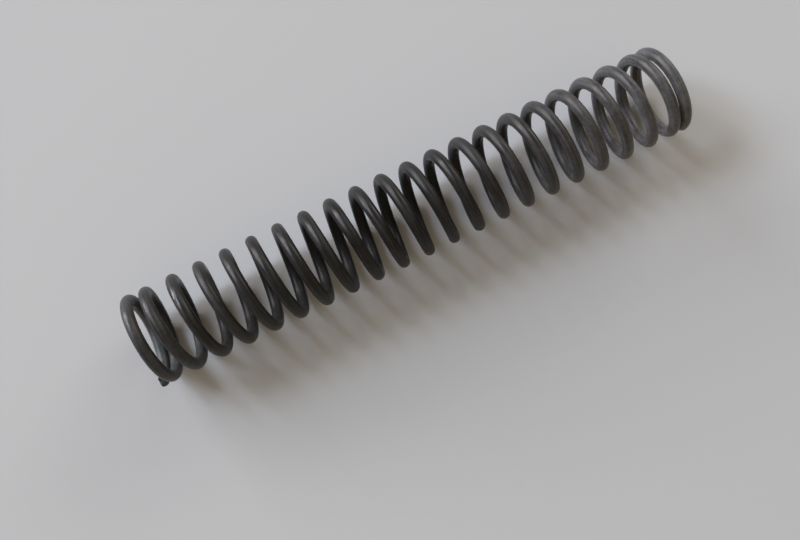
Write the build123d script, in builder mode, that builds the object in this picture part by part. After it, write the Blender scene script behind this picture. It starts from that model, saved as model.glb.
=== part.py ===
from build123d import *
from math import ceil, cos, pi, radians, sin, tan
import os

# A compression spring for a light suspension leg: one length of round wire, cold coiled
# right-handed, with both ends closed. Only the start tip is ground, where it stands proud.
# The spring lies on its side, with +X along the coil's axis and +Z up. The origin is on the
# surface that it lies on, below mid-length.

# Wire and coil, in mm
wire_diameter = 4.0
coil_outer_diameter = 32.5
pitch = 9.55  # rise of one open turn
total_turns = 21.97
start_angle = 194.0  # degrees about +X from +Y, where the wire starts

# Start end, at -X: its first turn is laid down flatter than the wire is thick,
# so the tip rides on the second turn and stands out a little
start_flattening = 1.3
start_closed_turns = 0.62
start_ramp_turns = 0.77  # over which the pitch opens
start_tip_gap = 0.4  # clear of the next turn
start_tip_spread = 0.45  # outwards
start_tip_spread_turns = 0.2
start_tip_grinding = 0.8  # taken off the tip's outer side, square to the axis

# Far end, at +X, where the closed turns lie side by side and the coil is wound in a little
end_closed_gap = 0.15
end_closed_turns = 0.7
end_ramp_turns = 0.96
end_tip_gap = 0.28
end_narrowing = 0.25  # of the coil's radius
end_narrowing_turns = 3.0

tip_lift_turns = 0.35  # of wire, over which either tip is pushed along the axis
cut_edge_radius = 0.2  # the sheared ends of the wire are slightly rounded
arcs_per_turn = 8  # tangent arcs that the wire's centre line is made of

wire_radius = wire_diameter / 2
flat_radius = wire_radius - cut_edge_radius
coil_radius = (coil_outer_diameter - wire_diameter) / 2
start_closed_pitch = wire_diameter - start_flattening
end_closed_pitch = wire_diameter + end_closed_gap
end_ramp_start = total_turns - end_closed_turns - end_ramp_turns


def smooth_step(share):
    """0 before 0, 1 after 1, and 3x^2 - 2x^3 between."""
    x = min(max(share, 0), 1)
    return x * x * (3 - 2 * x)


def opened_turns(turns_past, ramp_turns):
    """Turns at full pitch gained since the ramp began: the integral of smooth_step."""
    if turns_past > ramp_turns:
        return turns_past - ramp_turns / 2
    x = max(turns_past / ramp_turns, 0)
    return ramp_turns * (x**3 - x**4 / 2)


def tip_lift(closed_pitch, closed_turns, ramp_turns, tip_gap):
    """How far a tip is pushed along the axis by the turn that it rides on."""
    opened = (pitch - closed_pitch) * opened_turns(1 - closed_turns, ramp_turns)
    return wire_diameter + tip_gap - closed_pitch - opened


def tip_share(turns_from_tip, reach):
    """1 at a tip of the wire, 0 once past its reach."""
    return 1 - smooth_step(turns_from_tip / reach)


start_tip_lift = tip_lift(start_closed_pitch, start_closed_turns, start_ramp_turns, start_tip_gap)
end_tip_lift = tip_lift(end_closed_pitch, end_closed_turns, end_ramp_turns, end_tip_gap)


def rise(turns):
    """Distance along the axis from where the wire would start without its tip's lift."""
    opening = (pitch - start_closed_pitch) * opened_turns(turns - start_closed_turns, start_ramp_turns)
    closing = (pitch - end_closed_pitch) * opened_turns(turns - end_ramp_start, end_ramp_turns)
    start_lift = start_tip_lift * tip_share(turns, tip_lift_turns)
    end_lift = end_tip_lift * tip_share(total_turns - turns, tip_lift_turns)
    return start_closed_pitch * turns + opening - closing - start_lift + end_lift


def wire_centre(turns):
    """Point on the wire's centre line, so many turns from its start."""
    angle = radians(start_angle) + 2 * pi * turns
    spread = start_tip_spread * tip_share(turns, start_tip_spread_turns)
    narrowing = end_narrowing * tip_share(total_turns - turns, end_narrowing_turns)
    radius = coil_radius + spread - narrowing
    middle = (rise(0) + start_tip_grinding + rise(total_turns)) / 2
    axis_height = coil_outer_diameter / 2
    return (rise(turns) - middle, radius * cos(angle), axis_height + radius * sin(angle))


# The coil: a round section swept along arcs that meet tangentially. The arcs are laid from
# the middle turn outwards, first to the start and then to the far end, because an uneven turn
# sets the arcs laid after it swaying a little from side to side.
middle_turn = round(total_turns * arcs_per_turn / 2) / arcs_per_turn
middle_angle = radians(start_angle) + 2 * pi * middle_turn
half_arc = pi / arcs_per_turn
around = 2 * pi * coil_radius
along = pitch * half_arc / tan(half_arc)
middle_direction = Vector(along, -around * sin(middle_angle), around * cos(middle_angle))

with BuildPart() as coil_spring:
    wire_tips = []
    with BuildLine():
        for side, tip_turn in ((-1, 0), (1, total_turns)):
            point = Vector(*wire_centre(middle_turn))
            direction = middle_direction * side
            for index in range(1, ceil(abs(tip_turn - middle_turn) * arcs_per_turn) + 1):
                turns = min(max(middle_turn + side * index / arcs_per_turn, 0), total_turns)
                arc = TangentArc(point, wire_centre(turns), tangent=direction)
                point = arc @ 1
                direction = arc % 1
            wire_tips.append((point, direction))
    start_tip, start_outward = wire_tips[0]
    with BuildSketch(Plane(origin=start_tip, z_dir=-start_outward)):
        Circle(wire_radius)
    sweep()

    # A thin cap on each cut end, rounded at its edge
    for tip, outward in wire_tips:
        cap_section = Plane(origin=tip, x_dir=outward, z_dir=outward.cross(Vector(1, 0, 0)))
        with BuildSketch(cap_section):
            with BuildLine():
                Polyline((0, wire_radius), (0, 0), (cut_edge_radius, 0), (cut_edge_radius, flat_radius))
                RadiusArc((cut_edge_radius, flat_radius), (0, wire_radius), -cut_edge_radius)
            make_face()
        revolve(axis=Axis(tip, outward))

    # The start tip, ground flat where it stands proud of the coil
    ground_face = start_tip.X - wire_radius + start_tip_grinding
    split(bisect_by=Plane(origin=(ground_face, 0, 0), z_dir=(1, 0, 0)), keep=Keep.TOP)

coil_spring.part.label = "coil_spring"
os.makedirs("parts", exist_ok=True)
export_step(coil_spring.part, "parts/coil_spring.step")
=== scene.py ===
import bpy
import numpy as np
from mathutils import Matrix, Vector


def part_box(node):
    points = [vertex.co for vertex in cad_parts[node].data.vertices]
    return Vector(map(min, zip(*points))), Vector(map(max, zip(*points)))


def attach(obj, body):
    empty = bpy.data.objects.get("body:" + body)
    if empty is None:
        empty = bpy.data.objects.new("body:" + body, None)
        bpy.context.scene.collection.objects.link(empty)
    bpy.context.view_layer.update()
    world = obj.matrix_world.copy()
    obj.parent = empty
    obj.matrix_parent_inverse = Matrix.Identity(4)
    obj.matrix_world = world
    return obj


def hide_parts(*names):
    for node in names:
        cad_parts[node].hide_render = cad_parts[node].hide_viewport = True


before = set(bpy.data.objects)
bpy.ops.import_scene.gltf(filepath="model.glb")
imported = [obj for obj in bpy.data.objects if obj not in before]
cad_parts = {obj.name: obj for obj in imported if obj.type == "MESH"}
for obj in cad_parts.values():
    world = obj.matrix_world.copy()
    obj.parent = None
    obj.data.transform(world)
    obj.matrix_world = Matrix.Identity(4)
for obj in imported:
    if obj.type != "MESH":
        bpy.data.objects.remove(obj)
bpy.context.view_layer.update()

springLow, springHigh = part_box("coil_spring")

bpy.context.scene.view_settings.view_transform = "Standard"


def smoothStep(share):
    # 3 s^2 - 2 s^3, held at 0 and 1 outside
    s = np.clip(share, 0.0, 1.0)
    return s * s * (3 - 2 * s)


def unitRows(rows):
    # each row divided by its own length
    return rows / np.linalg.norm(rows, axis=-1, keepdims=True)


def meshObject(name, points, faces, material):
    mesh = bpy.data.meshes.new(name)
    mesh.from_pydata(points.tolist(), [], faces)
    mesh.update()
    mesh.polygons.foreach_set("use_smooth", np.ones(len(mesh.polygons), dtype=bool))
    mesh.materials.append(material)
    piece = bpy.data.objects.new(name, mesh)
    bpy.context.scene.collection.objects.link(piece)
    return piece


# Metres, and turns of the coil for stretches of wire. The start is at -X, the far end at +X.
springShape = dict(
    wireDiameter=0.004,
    outerDiameter=0.0325,
    pitch=0.00955,  # rise of one open turn
    turns=21.97,
    startAngle=194.0,  # degrees about +X from +Y
    startClosedPitch=0.0027,
    startClosedTurns=0.62,
    startRampTurns=0.77,  # over which the pitch opens
    startTipGap=0.0004,  # clear of the next turn
    startTipSpread=0.00045,  # outwards
    startTipSpreadTurns=0.2,
    startTipGrinding=0.0008,  # taken off the tip's outer side
    farClosedPitch=0.00415,
    farClosedTurns=0.7,
    farRampTurns=0.96,
    farTipGap=0.00028,
    farNarrowing=0.00025,  # of the coil's radius
    farNarrowingTurns=3.0,
    tipLiftTurns=0.35,  # over which either tip is pushed along the axis
    cutEdgeRadius=0.0002,
    sharpAngle=35.0,  # degrees, past which an edge is shaded as a corner
    ringsPerTurn=110,
    pointsAround=36,
)
axisHeight = springHigh[2] - springShape["outerDiameter"] / 2


def openedTurns(past, ramp):
    # integral of the smooth step: r (s^3 - s^4 / 2) on the ramp, then one for one
    s = np.clip(past / ramp, 0.0, 1.0)
    return np.where(past > ramp, past - ramp / 2, ramp * (s**3 - s**4 / 2))


def tipLift(end, shape):
    # one wire and the gap, less what the tip's first turn rises by itself
    closedPitch = shape[end + "ClosedPitch"]
    opened = openedTurns(1 - shape[end + "ClosedTurns"], shape[end + "RampTurns"])
    rise = closedPitch + (shape["pitch"] - closedPitch) * opened
    return float(shape["wireDiameter"] + shape[end + "TipGap"] - rise)


def wireCentre(turns, shape):
    # (rise, R cos a, R sin a): the rise per turn grows from the start's closed pitch to the
    # open one and falls again to the far end's, and the tips are pushed out along the axis
    s = shape
    left = s["turns"] - turns
    opening = openedTurns(turns - s["startClosedTurns"], s["startRampTurns"])
    closing = openedTurns(s["farClosedTurns"] + s["farRampTurns"] - left, s["farRampTurns"])
    rise = s["startClosedPitch"] * turns
    rise = rise + (s["pitch"] - s["startClosedPitch"]) * opening
    rise = rise - (s["pitch"] - s["farClosedPitch"]) * closing
    rise = rise - tipLift("start", s) * (1 - smoothStep(turns / s["tipLiftTurns"]))
    rise = rise + tipLift("far", s) * (1 - smoothStep(left / s["tipLiftTurns"]))
    radius = (s["outerDiameter"] - s["wireDiameter"]) / 2
    radius = radius + s["startTipSpread"] * (1 - smoothStep(turns / s["startTipSpreadTurns"]))
    radius = radius - s["farNarrowing"] * (1 - smoothStep(left / s["farNarrowingTurns"]))
    angle = np.radians(s["startAngle"]) + 2 * np.pi * turns
    middle = (rise[0] + s["startTipGrinding"] + rise[-1]) / 2
    x = (springLow[0] + springHigh[0]) / 2 + rise - middle
    return np.stack([x, radius * np.cos(angle), axisHeight + radius * np.sin(angle)], axis=1)


def wireGrid(shape):
    # a grid of points: centre + r (cos t outward + sin t sideways). Past each tip r shrinks
    # by a quarter circle, the rounded edge of the cut, and the tip's outer side is ground flat
    tipEnd = shape["startTipSpreadTurns"]
    rings = int((shape["turns"] - tipEnd) * shape["ringsPerTurn"])
    fineTip = np.linspace(0, tipEnd, int(3 * tipEnd * shape["ringsPerTurn"]), endpoint=False)
    turns = np.concatenate([fineTip, np.linspace(tipEnd, shape["turns"], rings)])
    centre = wireCentre(turns, shape)
    tangent = unitRows(np.gradient(centre, turns, axis=0, edge_order=2))
    length = np.concatenate([[0], np.cumsum(np.linalg.norm(np.diff(centre, axis=0), axis=1))])

    edge = shape["cutEdgeRadius"]
    bend = np.radians([30, 60, 90])
    past = edge * np.sin(bend)
    rounded = shape["wireDiameter"] / 2 - edge * (1 - np.cos(bend))
    ends = [np.repeat(tangent[k : k + 1], len(bend), axis=0) for k in (0, len(turns) - 1)]
    before = centre[0] - past[::-1, None] * ends[0]
    after = centre[-1] + past[:, None] * ends[1]
    centre = np.concatenate([before, centre, after])
    tangent = np.concatenate([ends[0], tangent, ends[1]])
    length = np.concatenate([-past[::-1], length, length[-1] + past])
    radius = np.concatenate([rounded[::-1], np.full(len(turns), shape["wireDiameter"] / 2), rounded])

    outward = centre * [0, 1, 1] - [0, 0, axisHeight]
    outward = unitRows(outward - tangent * (outward * tangent).sum(axis=1, keepdims=True))
    sideways = np.cross(tangent, outward)
    around = np.linspace(0, 2 * np.pi, shape["pointsAround"], endpoint=False)
    section = radius[:, None, None] * np.stack([np.cos(around), np.sin(around)], axis=1)
    points = centre[:, None] + section[..., :1] * outward[:, None] + section[..., 1:] * sideways[:, None]
    points[..., 0] = np.maximum(points[..., 0], springLow[0])
    alongWire = np.broadcast_to(length[:, None, None], section[..., :1].shape)
    return points, np.concatenate([alongWire, section], axis=2), centre


def closedEnds(points, straight, centre):
    # the flat of each cut end: the rim drawn in towards the wire's centre, in three steps
    shares = np.array([0.97, 0.55, 0.2])[:, None, None]
    rims = [points[0], points[-1]]
    flats = [middle + shares * (rim - middle) for rim, middle in zip(rims, (centre[0], centre[-1]))]
    scaling = np.concatenate([shares**0, shares, shares], axis=2)
    flatStraight = [straight[0] * scaling, straight[-1] * scaling]
    points = np.concatenate([flats[0][::-1], points, flats[1]])
    straight = np.concatenate([flatStraight[0][::-1], straight, flatStraight[1]])
    return points, straight


def tubeFaces(rings, count):
    # quads between neighbouring rings, and one face on each end's last ring
    index = np.arange(rings * count).reshape(rings, count)
    following = np.roll(index, -1, axis=1)
    quads = np.stack([index[:-1], following[:-1], following[1:], index[1:]], axis=-1)
    return quads.reshape(-1, 4).tolist() + [index[0, ::-1].tolist(), index[-1].tolist()]


# Small places on the wire: turns along it, degrees around it from the coil's outer side
# towards the start, how far each reaches in both, and how strong it is
markPatches = dict(  # what is left of a colour mark
    tip=(0.0, 80.0, 0.035, 55.0, 1.0),
    tipInside=(0.16, 175.0, 0.09, 60.0, 0.28),
    firstTurnInside=(0.978, -145.0, 0.025, 35.0, 0.4),
)
bareAndGlintPatches = dict(  # rubbed smooth and nearly bare, lighter there as a painted highlight where glints fall
    thirdTurn=(2.66, 25.0, 0.07, 30.0, 1.0),
    firstTurn=(0.65, 10.0, 0.04, 20.0, 0.7),
)


def patchShare(turns, degrees, patch):
    # full at the patch's middle, 0 at its edge, by a smooth step in the elliptical distance
    atTurns, atDegrees, reachTurns, reachDegrees, strength = patch
    apart = (degrees - atDegrees + 180) % 360 - 180
    return strength * (1 - smoothStep(np.hypot((turns - atTurns) / reachTurns, apart / reachDegrees)))


def patchShares(turns, degrees, patches):
    # the strongest of the patches at each point
    return np.max([patchShare(turns, degrees, patch) for patch in patches.values()], axis=0)


def feed(tree, socket, value):
    # a link from another node's output, or else a fixed value
    if isinstance(value, bpy.types.NodeSocket):
        tree.links.new(value, socket)
    else:
        socket.default_value = value


def noise(tree, place, stretch, detail, roughness=0.5):
    # noise in a space stretched by so much along each axis, per metre
    mapping = tree.nodes.new("ShaderNodeMapping")
    feed(tree, mapping.inputs["Vector"], place)
    mapping.inputs["Scale"].default_value = stretch
    texture = tree.nodes.new("ShaderNodeTexNoise")
    texture.inputs["Scale"].default_value = 1.0
    texture.inputs["Detail"].default_value = detail
    texture.inputs["Roughness"].default_value = roughness
    feed(tree, texture.inputs["Vector"], mapping.outputs["Vector"])
    return texture.outputs["Fac"]


def mapRange(tree, value, fromLow, fromHigh, toLow, toHigh):
    # toLow at fromLow, rising evenly to toHigh at fromHigh, and held there outside
    node = tree.nodes.new("ShaderNodeMapRange")
    feed(tree, node.inputs["Value"], value)
    feed(tree, node.inputs["From Min"], fromLow)
    feed(tree, node.inputs["From Max"], fromHigh)
    feed(tree, node.inputs["To Min"], toLow)
    feed(tree, node.inputs["To Max"], toHigh)
    return node.outputs["Result"]


def vary(tree, noiseValue, limits):
    # most of a noise lies between 0.3 and 0.7, which becomes the two limits
    return mapRange(tree, noiseValue, 0.3, 0.7, *limits)


def times(tree, first, second):
    node = tree.nodes.new("ShaderNodeMath")
    node.operation = "MULTIPLY"
    feed(tree, node.inputs[0], first)
    feed(tree, node.inputs[1], second)
    return node.outputs[0]


def mixColors(tree, share, first, second):
    node = tree.nodes.new("ShaderNodeMix")
    node.data_type = "RGBA"
    feed(tree, node.inputs[0], share)
    feed(tree, node.inputs[6], first)
    feed(tree, node.inputs[7], second)
    return node.outputs[2]


def scaleColors(tree, first, second):
    node = tree.nodes.new("ShaderNodeVectorMath")
    node.operation = "MULTIPLY"
    feed(tree, node.inputs[0], first)
    feed(tree, node.inputs[1], second)
    return node.outputs[0]


def attribute(tree, name, output):
    node = tree.nodes.new("ShaderNodeAttribute")
    node.attribute_name = name
    return node.outputs[output]


# Linear colours, and tints that multiply them. The dark skin is a phosphate coating. It is
# still oily in the middle of the coil, and dust makes it lighter towards both ends, cool at
# the start and warm at the far end. The far end's lightening is also a painted haze of light,
# and the skin is painted lighter on the shaded lower and inner sides, as painted fill light.
wireFinish = dict(
    oilySkin=(0.0115, 0.0116, 0.0118),
    startDust=0.067,
    startDustTurns=2.6,  # over which it falls to a third
    # lighter far end: partly dust, partly a painted haze of light
    farDustAndHaze=0.107,
    farDustAndHazeFrom=11.0,
    farDustAndHazeTurns=13.0,
    litSide=50.0,  # degrees about +X from +Y: the lit upper side, where the skin is painted darkest; across from it, in shade, it is painted lightest as fill light
    # how much the skin is painted lighter on the shaded side and darker on the lit side: painted fill
    # light
    paintedFillShare=0.24,
    insideDustAndFill=0.08,  # more of it on the coil's inner side, which lies in shade, so also painted fill light
    startTint=(0.95, 0.99, 1.04),
    farTint=(1.02, 0.99, 0.985),
    brownTint=(1.06, 1.0, 0.97, 1),
    greenTint=(0.96, 1.0, 0.99, 1),
    violetTint=(1.03, 0.97, 1.07, 1),
    drawnSteel=(0.10, 0.097, 0.09, 1),
    # lighter steel where rubbed bare, which also paints the highlights where glints fall
    bareSteelAndGlint=(0.12, 0.12, 0.12, 1),
    bareRoughness=0.35,  # of the skin's
    cutSteel=(0.035, 0.035, 0.034, 1),
    mark=(0.07, 0.165, 0.15, 1),
    blotchesPerMetre=150,
    tintsPerMetre=107,
    grainPerMetre=900,
    drawingStretch=(40, 1400, 1400),  # per metre along the wire, and across it
    scratchStretch=(160, 2600, 2600),
    violetShare=0.7,  # of the violet tint, in the lightest blotches
    blotchTones=(0.66, 1.34),  # the darkest and the lightest that each noise makes the skin
    grainTones=(0.8, 1.2),
    drawingTones=(0.6, 1.5),
    scratchShare=0.6,
    rubbedCrests=0.3,  # on the coil's outermost line
    glossTones=(0.6, 1.3),  # the smoothest and the roughest that each noise makes the skin
    smoothest=0.26,
    roughest=0.62,
    dustRoughening=0.9,  # times the roughness, where the far end's dust is thickest
    diffuseRoughness=1.0,
    specularLevel=0.31,
    specularTint=(1.0, 0.93, 0.88, 1),
    drawingDepth=0.00003,  # metres
    drawingStrength=0.6,
)


def dustAndHazeNearFar(turns, look):
    # a smooth step over the turns in which dust and a painted haze of light rise towards the far end
    return smoothStep((turns - look["farDustAndHazeFrom"]) / look["farDustAndHazeTurns"])


def skinColors(turns, degrees, look):
    # oily skin + dust falling away from the start + dust and a painted haze of light rising
    # towards the far end, each in its own tint. By a cosine around the coil the skin is painted
    # darker on the lit upper side and lighter on the shaded lower side, and lighter inside the coil,
    # which lies in shade: painted fill light.
    side = 2 * np.pi * turns + np.radians(springShape["startAngle"] - look["litSide"])
    # painted fill light: lighter on the shaded lower and inner sides, darker on the lit upper side
    dustAndFill = (1 - look["paintedFillShare"] * np.cos(side)) * np.ones(degrees.shape)
    dustAndFill = dustAndFill * (1 + look["insideDustAndFill"] * smoothStep(-np.cos(np.radians(degrees))))
    nearStart = dustAndFill * look["startDust"] * np.exp(-turns / look["startDustTurns"])
    farLightening = dustAndFill * look["farDustAndHaze"] * dustAndHazeNearFar(turns, look)
    dust = nearStart[..., None] * look["startTint"] + farLightening[..., None] * look["farTint"]
    return np.concatenate([look["oilySkin"] + dust, np.ones(dust.shape[:-1] + (1,))], axis=-1)


def wireMaterial(look):
    material = bpy.data.materials.new("phosphatedWire")
    material.use_nodes = True
    tree = material.node_tree
    shader = tree.nodes["Principled BSDF"]
    place = tree.nodes.new("ShaderNodeTexCoord").outputs["Object"]
    straight = attribute(tree, "straightWire", "Vector")
    blotches = noise(tree, place, [look["blotchesPerMetre"]] * 3, 5, 0.6)
    grain = noise(tree, place, [look["grainPerMetre"]] * 3, 3, 0.6)
    tints = noise(tree, place, [look["tintsPerMetre"]] * 3, 3, 0.6)
    drawing = noise(tree, straight, look["drawingStretch"], 4)
    scratches = noise(tree, straight, look["scratchStretch"], 2)

    # the skin: its colour along the wire, tinted and toned by the noises
    browned = mapRange(tree, tints, 0.38, 0.62, 0.0, 1.0)
    tint = mixColors(tree, browned, look["greenTint"], look["brownTint"])
    violet = mapRange(tree, blotches, 0.5, 0.68, 0.0, look["violetShare"])
    tint = mixColors(tree, violet, tint, look["violetTint"])
    tone = times(tree, vary(tree, blotches, look["blotchTones"]), vary(tree, grain, look["grainTones"]))
    tone = times(tree, tone, vary(tree, drawing, look["drawingTones"]))
    skin = scaleColors(tree, attribute(tree, "skinColor", "Color"), tint)
    skin = scaleColors(tree, skin, tone)

    # where it is worn through, cut, marked or bare, the bare places lighter as a painted highlight
    rubbedShare = attribute(tree, "rubbedShare", "Fac")
    rubbed = times(tree, rubbedShare, mapRange(tree, drawing, 0.5, 0.7, 0.0, 1.0))
    skin = mixColors(tree, rubbed, skin, look["drawnSteel"])
    scratched = mapRange(tree, scratches, 0.72, 0.77, 0.0, look["scratchShare"])
    skin = mixColors(tree, scratched, skin, look["drawnSteel"])
    cut = times(tree, attribute(tree, "cutShare", "Fac"), vary(tree, grain, (0.5, 1.0)))
    skin = mixColors(tree, cut, skin, look["cutSteel"])
    flaked = times(tree, attribute(tree, "markShare", "Fac"), mapRange(tree, grain, 0.36, 0.5, 0.3, 1.0))
    skin = mixColors(tree, flaked, skin, look["mark"])
    bareAndGlintShare = attribute(tree, "bareAndGlintShare", "Fac")
    bareAndGlint = times(tree, bareAndGlintShare, mapRange(tree, scratches, 0.4, 0.55, 0.4, 1.0))
    feed(tree, shader.inputs["Base Color"], mixColors(tree, bareAndGlint, skin, look["bareSteelAndGlint"]))
    shader.inputs["Metallic"].default_value = 0.0
    shader.inputs["Diffuse Roughness"].default_value = look["diffuseRoughness"]
    shader.inputs["Specular IOR Level"].default_value = look["specularLevel"]
    shader.inputs["Specular Tint"].default_value = look["specularTint"]

    # gloss: rougher and smoother with the drawing lines and blotches, smooth where bare
    gloss = look["glossTones"]
    unevenness = times(tree, vary(tree, drawing, gloss), vary(tree, blotches, gloss))
    roughness = mapRange(tree, unevenness, 0.4, 1.5, look["smoothest"], look["roughest"])
    roughness = times(tree, roughness, mapRange(tree, bareAndGlintShare, 0.0, 1.0, 1.0, look["bareRoughness"]))
    dust = attribute(tree, "dustShare", "Fac")
    roughness = times(tree, roughness, mapRange(tree, dust, 0.0, 1.0, 1.0, look["dustRoughening"]))
    feed(tree, shader.inputs["Roughness"], roughness)
    bump = tree.nodes.new("ShaderNodeBump")
    bump.inputs["Strength"].default_value = look["drawingStrength"]
    bump.inputs["Distance"].default_value = look["drawingDepth"]
    feed(tree, bump.inputs["Height"], drawing)
    feed(tree, shader.inputs["Normal"], bump.outputs["Normal"])
    return material


def storeOnPoints(piece, name, kind, field, values):
    layer = piece.data.attributes.new(name, kind, "POINT")
    layer.data.foreach_set(field, values.ravel().astype(np.float32))


def makeSpring(shape, look):
    points, straight, centre = wireGrid(shape)
    points, straight = closedEnds(points, straight, centre)
    rings, count = points.shape[:2]
    faces = tubeFaces(rings, count)
    piece = meshObject("springWire", points.reshape(-1, 3), faces, wireMaterial(look))
    piece.data.set_sharp_from_angle(angle=np.radians(shape["sharpAngle"]))

    length = straight[..., 0]
    turns = length / length.max() * shape["turns"]
    degrees = np.degrees(np.arctan2(straight[..., 2], straight[..., 1]))
    across = np.hypot(straight[..., 1], straight[..., 2])
    ground = (points[..., 0] < springLow[0] + 1e-6) & (turns < 1)
    cutFace = across < shape["wireDiameter"] / 2 - shape["cutEdgeRadius"] + 1e-6
    shares = dict(
        rubbedShare=look["rubbedCrests"] * np.clip(np.cos(np.radians(degrees)), 0, 1) ** 6,
        markShare=patchShares(turns, degrees, markPatches),
        bareAndGlintShare=patchShares(turns, degrees, bareAndGlintPatches),
        cutShare=np.where(ground | cutFace, 1.0, 0.0),
        dustShare=dustAndHazeNearFar(turns, look),
    )
    for name, share in shares.items():
        storeOnPoints(piece, name, "FLOAT", "value", share)
    storeOnPoints(piece, "skinColor", "FLOAT_COLOR", "color", skinColors(turns, degrees, look))
    storeOnPoints(piece, "straightWire", "FLOAT_VECTOR", "vector", straight)
    return piece


spring = makeSpring(springShape, wireFinish)
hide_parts("coil_spring")
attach(spring, "root")
print("spring made,", len(spring.data.polygons), "faces")


# Lamps stand at an azimuth from +X towards +Y and an elevation, both in degrees, and face
# the spring. Sizes and distances are in metres, powers in watts. Four lamps stand for windows
# on the +Y side, and the highest of them for the sky in them.
studio = dict(
    floorColor=(0.54, 0.54, 0.54, 1),
    floorSide=2.4,
    floorRoughness=0.9,
    floorSpecular=0.1,
    lampDistance=5.0,
    roomColor=(1.0, 0.83, 0.6, 1),
    roomStrength=0.325,
    backdropColor=(0.8, 0.8, 0.8, 1),
    backdropStrength=0.7,
)
windowLamps = dict(
    windowFoot=dict(azimuth=135, elevation=8, size=(2.22, 1.05), power=123, color=(0.96, 0.96, 1.0)),
    windowSide=dict(azimuth=35, elevation=22, size=(3.06, 1.41), power=77, color=(1.0, 1.0, 0.97)),
    windowMiddle=dict(azimuth=110, elevation=22, size=(2.22, 1.41), power=119, color=(0.89, 0.92, 1.0)),
    windowSky=dict(azimuth=135, elevation=38, size=(2.22, 1.41), power=171, color=(0.72, 0.82, 1.0)),
)


def pointing(azimuth, elevation):
    # the unit vector (cos a cos e, sin a cos e, sin e)
    a, e = np.radians([azimuth, elevation])
    return np.array([np.cos(a) * np.cos(e), np.sin(a) * np.cos(e), np.sin(e)])


def turnTo(back):
    # a matrix whose third column is back, with the second as near to +Z as it can be
    right = unitRows(np.cross([0, 0, 1], back))
    return Matrix(np.stack([right, np.cross(back, right), back], axis=1).tolist()).to_4x4()


def makeLamp(name, look, distance):
    lamp = bpy.data.lights.new(name, "AREA")
    lamp.shape = "RECTANGLE"
    lamp.size, lamp.size_y = look["size"]
    lamp.energy = look["power"]
    lamp.color = look["color"]
    back = pointing(look["azimuth"], look["elevation"])
    piece = bpy.data.objects.new(name, lamp)
    bpy.context.scene.collection.objects.link(piece)
    piece.matrix_world = Matrix.Translation((distance * back).tolist()) @ turnTo(back)
    piece.visible_camera = False


def makeFloor(look):
    material = bpy.data.materials.new("paleTable")
    material.use_nodes = True
    shader = material.node_tree.nodes["Principled BSDF"]
    shader.inputs["Base Color"].default_value = look["floorColor"]
    shader.inputs["Roughness"].default_value = look["floorRoughness"]
    shader.inputs["Specular IOR Level"].default_value = look["floorSpecular"]
    side = look["floorSide"] / 2
    corners = np.array([[-side, -side, 0], [side, -side, 0], [side, side, 0], [-side, side, 0]])
    meshObject("tableTop", corners, [[0, 1, 2, 3]], material)


def makeRoom(look):
    # a dim warm room, which the camera sees as a pale backdrop
    world = bpy.data.worlds.new("room")
    bpy.context.scene.world = world
    world.use_nodes = True
    tree = world.node_tree
    room = tree.nodes["Background"]
    room.inputs["Color"].default_value = look["roomColor"]
    room.inputs["Strength"].default_value = look["roomStrength"]
    backdrop = tree.nodes.new("ShaderNodeBackground")
    backdrop.inputs["Color"].default_value = look["backdropColor"]
    backdrop.inputs["Strength"].default_value = look["backdropStrength"]
    mix = tree.nodes.new("ShaderNodeMixShader")
    tree.links.new(tree.nodes.new("ShaderNodeLightPath").outputs["Is Camera Ray"], mix.inputs[0])
    tree.links.new(room.outputs[0], mix.inputs[1])
    tree.links.new(backdrop.outputs[0], mix.inputs[2])
    tree.links.new(mix.outputs[0], tree.nodes["World Output"].inputs["Surface"])


makeFloor(studio)
for lampName, lampLook in windowLamps.items():
    makeLamp(lampName, lampLook, studio["lampDistance"])
makeRoom(studio)
print("floor and light made")

# Metres and degrees, and millimetres for the lens and the sensor. The shifts are shares of
# the view's width, and bring the spring to its place in it.
cameraView = dict(
    place=(-0.0241, -0.039, 0.2932),
    azimuth=-142.9,  # of the camera's back, from +X towards +Y
    elevation=84.28,
    roll=26.5,  # about its own axis
    lens=37.04,
    sensor=36.0,
    shift=(-0.0441, 0.0035),
)


def makeCamera(view):
    data = bpy.data.cameras.new("viewCamera")
    data.sensor_width = view["sensor"]
    data.lens = view["lens"]
    data.shift_x, data.shift_y = view["shift"]
    data.clip_start = 0.01
    data.clip_end = 20
    camera = bpy.data.objects.new("viewCamera", data)
    bpy.context.scene.collection.objects.link(camera)
    turn = turnTo(pointing(view["azimuth"], view["elevation"]))
    turn = turn @ Matrix.Rotation(np.radians(view["roll"]), 4, "Z")
    camera.matrix_world = Matrix.Translation(view["place"]) @ turn
    bpy.context.scene.camera = camera


makeCamera(cameraView)
print("camera made")
